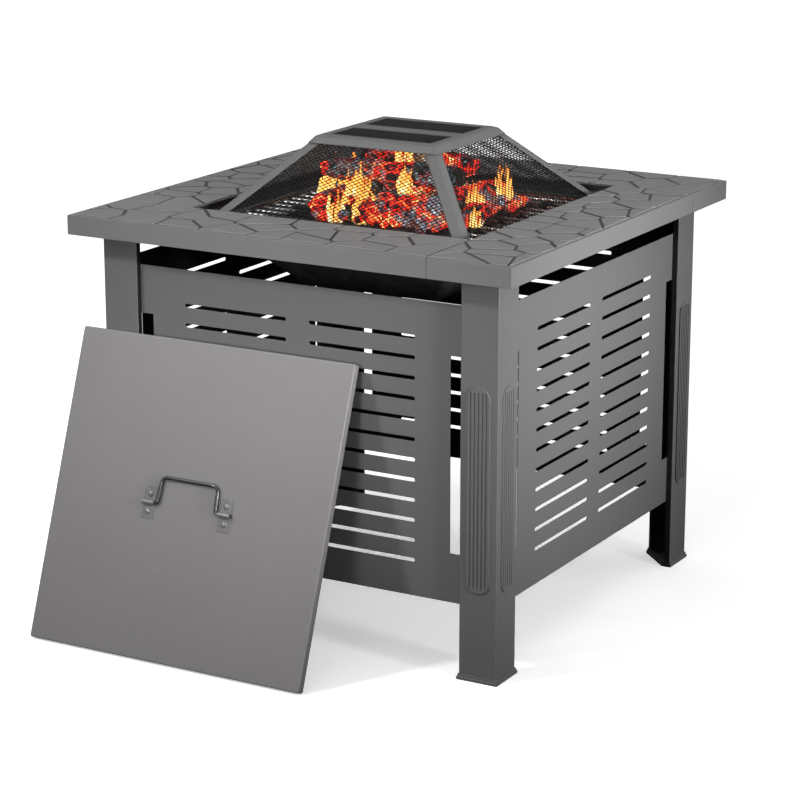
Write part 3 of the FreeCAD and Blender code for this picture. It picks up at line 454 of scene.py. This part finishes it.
def clipLine(start, way, polygon):
    # span of t for which start + t * way is inside a convex polygon
    enter, leave = -9.0, 9.0  # metres, past the ends of any sheet
    for i, point in enumerate(polygon):
        edge = polygon[(i + 1) % len(polygon)] - point
        inward = Vector((-edge.y, edge.x))
        speed = inward.dot(way)
        gap = inward.dot(point - start)
        if abs(speed) < 1e-12:  # runs along this edge
            continue
        if speed > 0:
            enter = max(enter, gap / speed)
        else:
            leave = min(leave, gap / speed)
    return enter, leave


def wireMesh(name, outline, look):
    origin = outline[0]
    across = (outline[1] - outline[0]).normalized()
    normal = across.cross(outline[3] - outline[0]).normalized()
    up = normal.cross(across)
    flat = [Vector(((p - origin).dot(across), (p - origin).dot(up))) for p in outline]
    if sum(a.x * b.y - b.x * a.y for a, b in zip(flat, flat[1:] + flat[:1])) < 0:
        flat.reverse()
    cells = max(p.x for p in flat) / look["cellWide"] + max(p.y for p in flat) / look["cellTall"]
    reach = int(cells) + 2
    half = look["strand"] / 2
    built = bmesh.new()
    for family in (1, -1):
        way = Vector((look["cellWide"], family * look["cellTall"])).normalized()
        side = Vector((-way.y, way.x)) * half
        lift = normal * (family * look["strand"] * look["lift"])
        for number in range(-reach, reach + 1):
            start = Vector((number * look["cellWide"], 0.0))
            enter, leave = clipLine(start, way, flat)
            if leave - enter < look["strand"] * 2:
                continue
            rings = []
            for t in (enter, leave):
                ring = []
                for s, rise in ((-1, -1), (1, -1), (1, 1), (-1, 1)):
                    spot = start + way * t + side * s
                    ring.append(origin + across * spot.x + up * spot.y + lift
                                + normal * (rise * half * look["flat"]))
                rings.append(ring)
            addRings(built, rings)
    piece = makePiece(name, built, painted["mesh"])
    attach(piece, "screen")
    return piece


for side in sides:
    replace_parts(wireMesh("wire_" + side, sheetCorners("screen_mesh_" + side), wallMesh),
                "screen_mesh_" + side)
for side in ("front", "rear"):
    cap = "screen_cap_mesh_" + side
    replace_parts(wireMesh("window_wire_" + side, flatCorners(cap), windowMesh), cap)
print("wire mesh done")

# charred wood: red heat in cracks and patches, pale blue ash over it
charLook = {
    "crackScale": 52.0, "crackSpan": (0.02, 0.16), "patchNoise": (13.0, 4.0, 0.62),
    "fineNoise": (140.0, 5.0, 0.7), "fineShare": 0.35, "glowSpan": (0.62, 0.90),
    "crackHeat": (0.35, 0.55), "ashPlace": (3, 1, 7), "ashNoise": (15.0, 6.0, 0.7),
    "ashSpan": (0.48, 0.54), "ashTones": (0.44, 0.62),
    "ashDark": (0.006, 0.012, 0.02, 1), "ashPale": (0.42, 0.82, 1.0, 1),
    "char": (0.012, 0.009, 0.009, 1), "glow": 1.7, "ashCooling": 0.9, "rough": (0.7, 0.95),
    "crackDepth": 1.4, "relief": 0.9, "reliefDepth": 0.003,
    "heatColors": [(0.12, (0.0, 0.0, 0.0, 1)), (0.35, (0.60, 0.006, 0.002, 1)),
                   (0.66, (1.0, 0.03, 0.008, 1)), (0.86, (1.0, 0.22, 0.02, 1)),
                   (1.0, (1.0, 0.75, 0.30, 1))],
}


def charMaterial(look):
    material, tree, shader, coords = newMaterial("charred wood")
    blocks = add(tree, "TexVoronoi", {"Vector": coords, "Scale": look["crackScale"],
                                      "Randomness": 1.0}, feature="DISTANCE_TO_EDGE")
    crack = spread(tree, blocks.outputs["Distance"], look["crackSpan"], falling)
    patches = speckle(tree, coords, look["patchNoise"])
    fine = speckle(tree, coords, look["fineNoise"])
    glow = spread(tree, calc(tree, "ADD", patches, times(tree, fine, look["fineShare"])),
                  look["glowSpan"], rising)
    heat = calc(tree, "MAXIMUM", glow,
                times(tree, crack, spread(tree, patches, look["crackHeat"], rising)))
    moved = add(tree, "Mapping", {"Vector": coords, "Location": look["ashPlace"]}).outputs[0]
    ash = spread(tree, speckle(tree, moved, look["ashNoise"]), look["ashSpan"], rising)
    ashTone = blendColors(tree, spread(tree, fine, look["ashTones"], rising),
                          look["ashDark"], look["ashPale"])
    base = blendColors(tree, ash, look["char"], ashTone)
    tree.links.new(base, shader.inputs["Base Color"])
    tree.links.new(colorRamp(tree, heat, look["heatColors"]), shader.inputs["Emission Color"])
    bare = calc(tree, "SUBTRACT", 1.0, times(tree, ash, look["ashCooling"]))
    tree.links.new(times(tree, bare, look["glow"]), shader.inputs["Emission Strength"])
    tree.links.new(spread(tree, fine, noiseSpan, look["rough"]), shader.inputs["Roughness"])
    relief = calc(tree, "SUBTRACT", fine, times(tree, crack, look["crackDepth"]))
    emboss(tree, shader, relief, look["relief"], look["reliefDepth"])
    return material


# burnt logs: shares of the radius, except the slant and the dished ends, in metres
logLook = {"rows": 90, "around": 44, "endTaper": 0.62, "taperRate": 3.2,
           "splitTurns": (0.0, 2.1, 4.0), "split": 0.80, "grainAround": 1.6, "grainAlong": 26,
           "core": 0.86, "lump": 0.10, "block": 0.07, "blockScale": (1.7, 1.7, 1.9),
           "grooveRate": 4.0, "most": 0.99, "slant": 0.006, "slantScale": 0.8,
           "length": 0.985, "dish": 0.004, "seedStep": 3.7, "lumpLook": (1.0, 2.0, 4)}


def logAxis(name):
    # middle, direction, length and radius of a straight CAD log
    points = np.array([v.co for v in nodes[name].data.vertices])
    middle = (points.max(0) + points.min(0)) / 2
    main = np.linalg.svd(points - points.mean(0), full_matrices=False)[2][0]
    way = Vector(main).normalized()
    spans = (points - middle) @ np.array(way)
    off = (points - middle) - np.outer(spans, np.array(way))
    return Vector(middle), way, spans.max() - spans.min(), np.sqrt((off ** 2).sum(1)).max()


def barkAt(angle, t, length, seed, look):
    # share of the radius at one point, and how unevenly the end is broken there
    taper = min(1.0, look["endTaper"] + look["taperRate"] * min(t, 1 - t))
    flat = 1.0 / max(abs(math.cos(angle - seed - turn)) for turn in look["splitTurns"])
    split = min(1.0, look["split"] * flat)
    spot = Vector((math.cos(angle) * look["grainAround"] + seed,
                   math.sin(angle) * look["grainAround"], t * length * look["grainAlong"]))
    lump = noise.fractal(spot, *look["lumpLook"])
    block = noise.voronoi(Vector([c * s for c, s in zip(spot, look["blockScale"])]))[0]
    groove = min(1.0, (block[1] - block[0]) * look["grooveRate"])
    bark = look["core"] + look["lump"] * lump + look["block"] * groove
    slant = (look["slant"] * noise.noise(spot * look["slantScale"])
             * (1 if t > 0.5 else -1) * abs(2 * t - 1) ** 3)
    return min(taper * split * bark, look["most"]), slant


def burningLog(name, material, look):
    middle, way, length, radius = logAxis(name)
    sideways = way.cross(Vector((0, 0, 1))).normalized()
    upward = sideways.cross(way)
    seed = int(name[-1]) * look["seedStep"]
    around = look["around"]
    built = bmesh.new()
    rings = []
    for i in range(look["rows"] + 1):
        t = i / look["rows"]
        ring = []
        for j in range(around):
            angle = j / around * math.tau
            share, slant = barkAt(angle, t, length, seed, look)
            out = radius * share
            place = middle + way * ((t - 0.5) * length * look["length"] + slant)
            ring.append(built.verts.new(place + sideways * math.cos(angle) * out
                                        + upward * math.sin(angle) * out))
        rings.append(ring)
    for low, high in zip(rings, rings[1:]):
        for j in range(around):
            k = (j + 1) % around
            built.faces.new((low[j], low[k], high[k], high[j]))
    for ring, inward in ((rings[0], look["dish"]), (rings[-1], -look["dish"])):
        heart = built.verts.new(sum((v.co for v in ring), Vector()) / around + way * inward)
        for j in range(around):
            built.faces.new((ring[j], ring[(j + 1) % around], heart))
    bmesh.ops.recalc_face_normals(built, faces=built.faces)
    piece = makePiece("burning_" + name, built, material, smooth=True)
    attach(piece, "grate")
    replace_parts(piece, name)


charred = charMaterial(charLook)
for name in sorted(name for name in nodes if name.startswith("log_")):
    burningLog(name, charred, logLook)

# glowing coals between and around the logs: metres, except shares of a coal's own size
coalLook = {"tries": 300, "seed": 5, "middle": (0.026, 0.0), "reach": (0.136, 0.156),
            "grain": (0.007, 0.015), "seat": 0.7, "heap": 0.030, "heapWide": 1.3,
            "squash": (0.7, 1.25), "settled": 0.8, "core": 0.74, "chip": 0.3, "chipRate": 2.2,
            "chipScale": 1.4, "pit": 0.12, "pitScale": 4, "pitShift": 90}


def coalBed(look):
    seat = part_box("fire_grate")[1].z
    chance = random.Random(look["seed"])
    built = bmesh.new()
    for number in range(look["tries"]):
        # spread over a rounded square, heaped toward its middle
        u, v = chance.uniform(-1, 1), chance.uniform(-1, 1)
        if u ** 4 + v ** 4 > 1:
            continue
        grain = chance.uniform(*look["grain"])
        heap = look["heap"] * max(0.0, 1 - (u * u + v * v) / look["heapWide"]) * chance.random()
        middle = Vector((look["middle"][0] + look["reach"][0] * u,
                         look["middle"][1] + look["reach"][1] * v,
                         seat + grain * look["seat"] + heap))
        squash = Vector([chance.uniform(*look["squash"]) for _ in range(3)])
        ball = bmesh.ops.create_icosphere(built, subdivisions=2, radius=1.0)
        for vert in ball["verts"]:
            way = vert.co.normalized()
            cell = noise.voronoi(way * look["chipScale"] + Vector((number, 0, 0)))[0]
            chip = look["chip"] * min(1.0, (cell[1] - cell[0]) * look["chipRate"])
            pitPlace = way * look["pitScale"] + middle * look["pitShift"]
            pit = look["pit"] * noise.noise(pitPlace)
            size = grain * (look["core"] + chip + pit)
            vert.co = middle + Vector((way.x * squash.x, way.y * squash.y,
                                       way.z * squash.z * look["settled"])) * size
    piece = makePiece("coals", built, charred, smooth=True)
    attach(piece, "grate")


coalBed(coalLook)
print("logs done")

# flames: colors run from the foot up, and the sheets tear into licks higher up
flameLook = {
    "drawn": (1.0, 1.0, 0.11), "lickScale": 120.0, "lickBend": 0.5, "lickSpan": (0.46, 0.66),
    "lickShift": (0.45, -0.25), "tearSpan": (0.0, 0.9), "tear": (0.07, -0.15),
    "tornEdge": (0.485, 0.525), "footSpan": (0.0, 0.1), "tipSpan": (0.8, 1.0),
    "tip": (1.0, 0.5), "glow": 2.0, "base": (0.2, 0.05, 0.01, 1),
    "colors": [(0.0, (1.0, 0.90, 0.52, 1)), (0.25, (1.0, 0.66, 0.16, 1)),
               (0.6, (1.0, 0.30, 0.03, 1)), (1.0, (0.62, 0.03, 0.004, 1))],
}


def flameMaterial(look):
    material, tree, shader, coords = newMaterial("flame")
    up = add(tree, "SeparateXYZ", {0: add(tree, "TexCoord").outputs["UV"]}).outputs[1]
    lick = add(tree, "TexNoise", {"Vector": drawnOut(tree, coords, look["drawn"]),
                                  "Scale": look["lickScale"], "Detail": 3.0,
                                  "Distortion": look["lickBend"]}).outputs["Fac"]
    hot = calc(tree, "ADD", up, spread(tree, lick, look["lickSpan"], look["lickShift"]))
    tree.links.new(colorRamp(tree, hot, look["colors"]), shader.inputs["Emission Color"])
    shader.inputs["Emission Strength"].default_value = look["glow"]
    shader.inputs["Base Color"].default_value = look["base"]
    shader.inputs["Roughness"].default_value = 1.0
    torn = calc(tree, "ADD", lick, spread(tree, up, look["tearSpan"], look["tear"]))
    body = spread(tree, torn, look["tornEdge"], rising)
    fade = times(tree, spread(tree, up, look["footSpan"], rising),
                 spread(tree, up, look["tipSpan"], look["tip"]))
    tree.links.new(times(tree, body, fade), shader.inputs["Alpha"])
    return material


# groups of tongues: middle x and y, foot above the grate, tall, wide, lean inward, how many
fire = {
    "groups": [
        (0.000, -0.137, 0.000, 0.074, 0.052, 0.010, 4),
        (-0.034, -0.130, 0.000, 0.084, 0.050, 0.012, 4),
        (-0.052, -0.094, 0.030, 0.076, 0.036, 0.010, 2),
        (-0.158, 0.020, 0.000, 0.092, 0.046, 0.034, 5),
        (0.000, 0.010, 0.060, 0.062, 0.040, 0.0, 3),
        (-0.060, 0.120, 0.010, 0.085, 0.040, 0.010, 3),
        (0.055, -0.100, 0.045, 0.062, 0.026, 0.006, 3),
        (0.140, -0.020, 0.000, 0.082, 0.036, 0.010, 2),
        (0.118, 0.090, 0.010, 0.092, 0.034, 0.010, 4),
        (0.168, -0.080, 0.000, 0.050, 0.034, 0.010, 3),
    ],
    "seed": 11, "scatter": 0.35, "sizes": (0.7, 1.0), "rows": 22, "around": 12, "thin": 0.3,
    "turn": (0.5, 0.6, 2.4), "footGirth": 0.08, "swell": 0.5, "point": 0.9, "full": 1.9,
    "tipGirth": 0.012, "sway": 0.007, "swayRates": ((5, 1.7), (4, 2.3)), "ragged": 0.35,
    "raggedRates": (7, 3.1), "roomAbove": 0.001, "roomBeside": 0.006,
}


def flameTongues(look):
    chance = random.Random(look["seed"])
    tongues = []
    for x, y, foot, tall, wide, lean, count in look["groups"]:
        for _ in range(count):
            awayX = chance.uniform(-1, 1) * wide * look["scatter"]
            awayY = chance.uniform(-1, 1) * wide * look["scatter"]
            tongues.append((x + awayX, y + awayY, foot, tall * chance.uniform(*look["sizes"]),
                            wide * chance.uniform(*look["sizes"]), lean))
    return tongues


def flames(look):
    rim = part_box("fire_grate")[1].z
    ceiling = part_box("screen_cap_mesh_front")[0].z - look["roomAbove"]
    # the screen's sloping sides, which no flame passes
    sheet = sheetCorners("screen_mesh_front")
    slope = (sheet[3].y - sheet[0].y) / (sheet[3].z - sheet[0].z)
    built = bmesh.new()
    uv = built.loops.layers.uv.new("rise")
    rows, around = look["rows"], look["around"]
    (swayX, stepX), (swayY, stepY) = look["swayRates"]
    raggedUp, raggedStep = look["raggedRates"]
    middleTurn, turnRange, turnStep = look["turn"]
    for number, (x, y, foot, tall, wide, lean) in enumerate(flameTongues(look)):
        base = Vector((x, y, rim + foot))
        tall = min(tall, ceiling - base.z)
        turn = middleTurn + turnRange * math.sin(number * turnStep)
        inward = Vector((x, y, 0)).normalized() * -lean
        rings = []
        for i in range(rows + 1):
            t = i / rows
            # narrow foot, widest low down, pointed tip
            belly = (t + look["footGirth"]) ** look["swell"] * (1 - t) ** look["point"]
            girth = wide / 2 * (belly * look["full"] + look["tipGirth"])
            sway = Vector((math.sin(t * swayX + number * stepX),
                           math.cos(t * swayY + number * stepY), 0))
            sway *= look["sway"] * t
            ring = []
            for j in range(around):
                angle = j / around * math.tau
                local = Vector((math.cos(angle) * girth, math.sin(angle) * girth * look["thin"], 0))
                spike = noise.noise(Vector((angle, t * raggedUp, number * raggedStep)))
                local = Vector((local.x * math.cos(turn) - local.y * math.sin(turn),
                                local.x * math.sin(turn) + local.y * math.cos(turn), 0))
                local *= 1 + look["ragged"] * spike
                spot = base + local + sway + inward * t + Vector((0, 0, tall * t))
                room = (-sheet[0].y - slope * max(0.0, spot.z - sheet[0].z)
                        - look["roomBeside"])
                spot.x, spot.y = (max(-room, min(room, c)) for c in (spot.x, spot.y))
                ring.append(built.verts.new(spot))
            rings.append(ring)
        for i, (low, high) in enumerate(zip(rings, rings[1:])):
            for j in range(around):
                k = (j + 1) % around
                face = built.faces.new((low[j], low[k], high[k], high[j]))
                for loop, rise in zip(face.loops, (i, i, i + 1, i + 1)):
                    loop[uv].uv = (j / around, rise / rows)
        built.faces.new(rings[0][::-1])
        built.faces.new(rings[-1])
    piece = makePiece("flames", built, flameMaterial(flameLook), smooth=True)
    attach(piece, "grate")


flames(fire)
print("flames done")

# pale paper sweep under the table: it glows a little, so shadows stay pale
floorLook = {"size": 40, "tone": (0.95, 0.97), "toneNoise": (2.0, 3.0, 0.55), "glow": 0.45}


def studioFloor(look):
    bpy.ops.mesh.primitive_plane_add(size=look["size"])
    floor = bpy.context.object
    floor.name = "floor"
    material, tree, shader, coords = newMaterial("floor")
    tone = spread(tree, speckle(tree, coords, look["toneNoise"]), noiseSpan, look["tone"])
    tree.links.new(tone, shader.inputs["Base Color"])
    shader.inputs["Roughness"].default_value = 1.0
    shader.inputs["Specular IOR Level"].default_value = 0.0
    shader.inputs["Emission Color"].default_value = (1, 1, 1, 1)
    shader.inputs["Emission Strength"].default_value = look["glow"]
    floor.data.materials.append(material)
    floor.visible_diffuse = False
    floor.visible_glossy = False


# soft dome, brighter overhead, with three lamps: power in watts, spread in degrees
domeLook = {"heights": (0.0, 0.65), "strength": (0.02, 0.72), "backdrop": 1.05}
lamps = {
    "key": {"place": (-2.0, -3.2, 3.5), "aim": (0, 0, 0.5), "size": 0.45, "power": 105,
            "spread": 180},
    "front": {"place": (0.4, -3.6, 1.1), "aim": (0, -0.4, 0.62), "size": 0.7, "power": 1.3,
              "spread": 22},
    "right": {"place": (3.6, -0.8, 1.1), "aim": (0.38, -0.1, 0.60), "size": 0.7, "power": 4.9,
              "spread": 22},
}


def studioLight(look):
    world = bpy.data.worlds.new("studio")
    scene.world = world
    world.use_nodes = True
    tree = world.node_tree
    backdrop = tree.nodes["Background"]
    toward = heightOf(tree, add(tree, "TexCoord").outputs["Generated"])
    dome = spread(tree, toward, look["heights"], look["strength"])
    seen = add(tree, "LightPath").outputs["Is Camera Ray"]
    strength = add(tree, "Mix", {0: seen, 2: dome, 3: look["backdrop"]}, data_type="FLOAT")
    tree.links.new(strength.outputs[0], backdrop.inputs["Strength"])
    backdrop.inputs["Color"].default_value = (1, 1, 1, 1)
    for name, lamp in lamps.items():
        data = bpy.data.lights.new(name, "AREA")
        data.energy = lamp["power"]
        data.size = lamp["size"]
        data.spread = math.radians(lamp["spread"])
        light = link(bpy.data.objects.new(name, data))
        light.location = lamp["place"]
        aim = Vector(lamp["aim"]) - light.location
        light.rotation_euler = aim.to_track_quat("-Z", "Y").to_euler()


studioFloor(floorLook)
studioLight(domeLook)
scene.view_settings.view_transform = "Standard"
scene.view_settings.look = "None"
print("studio done")
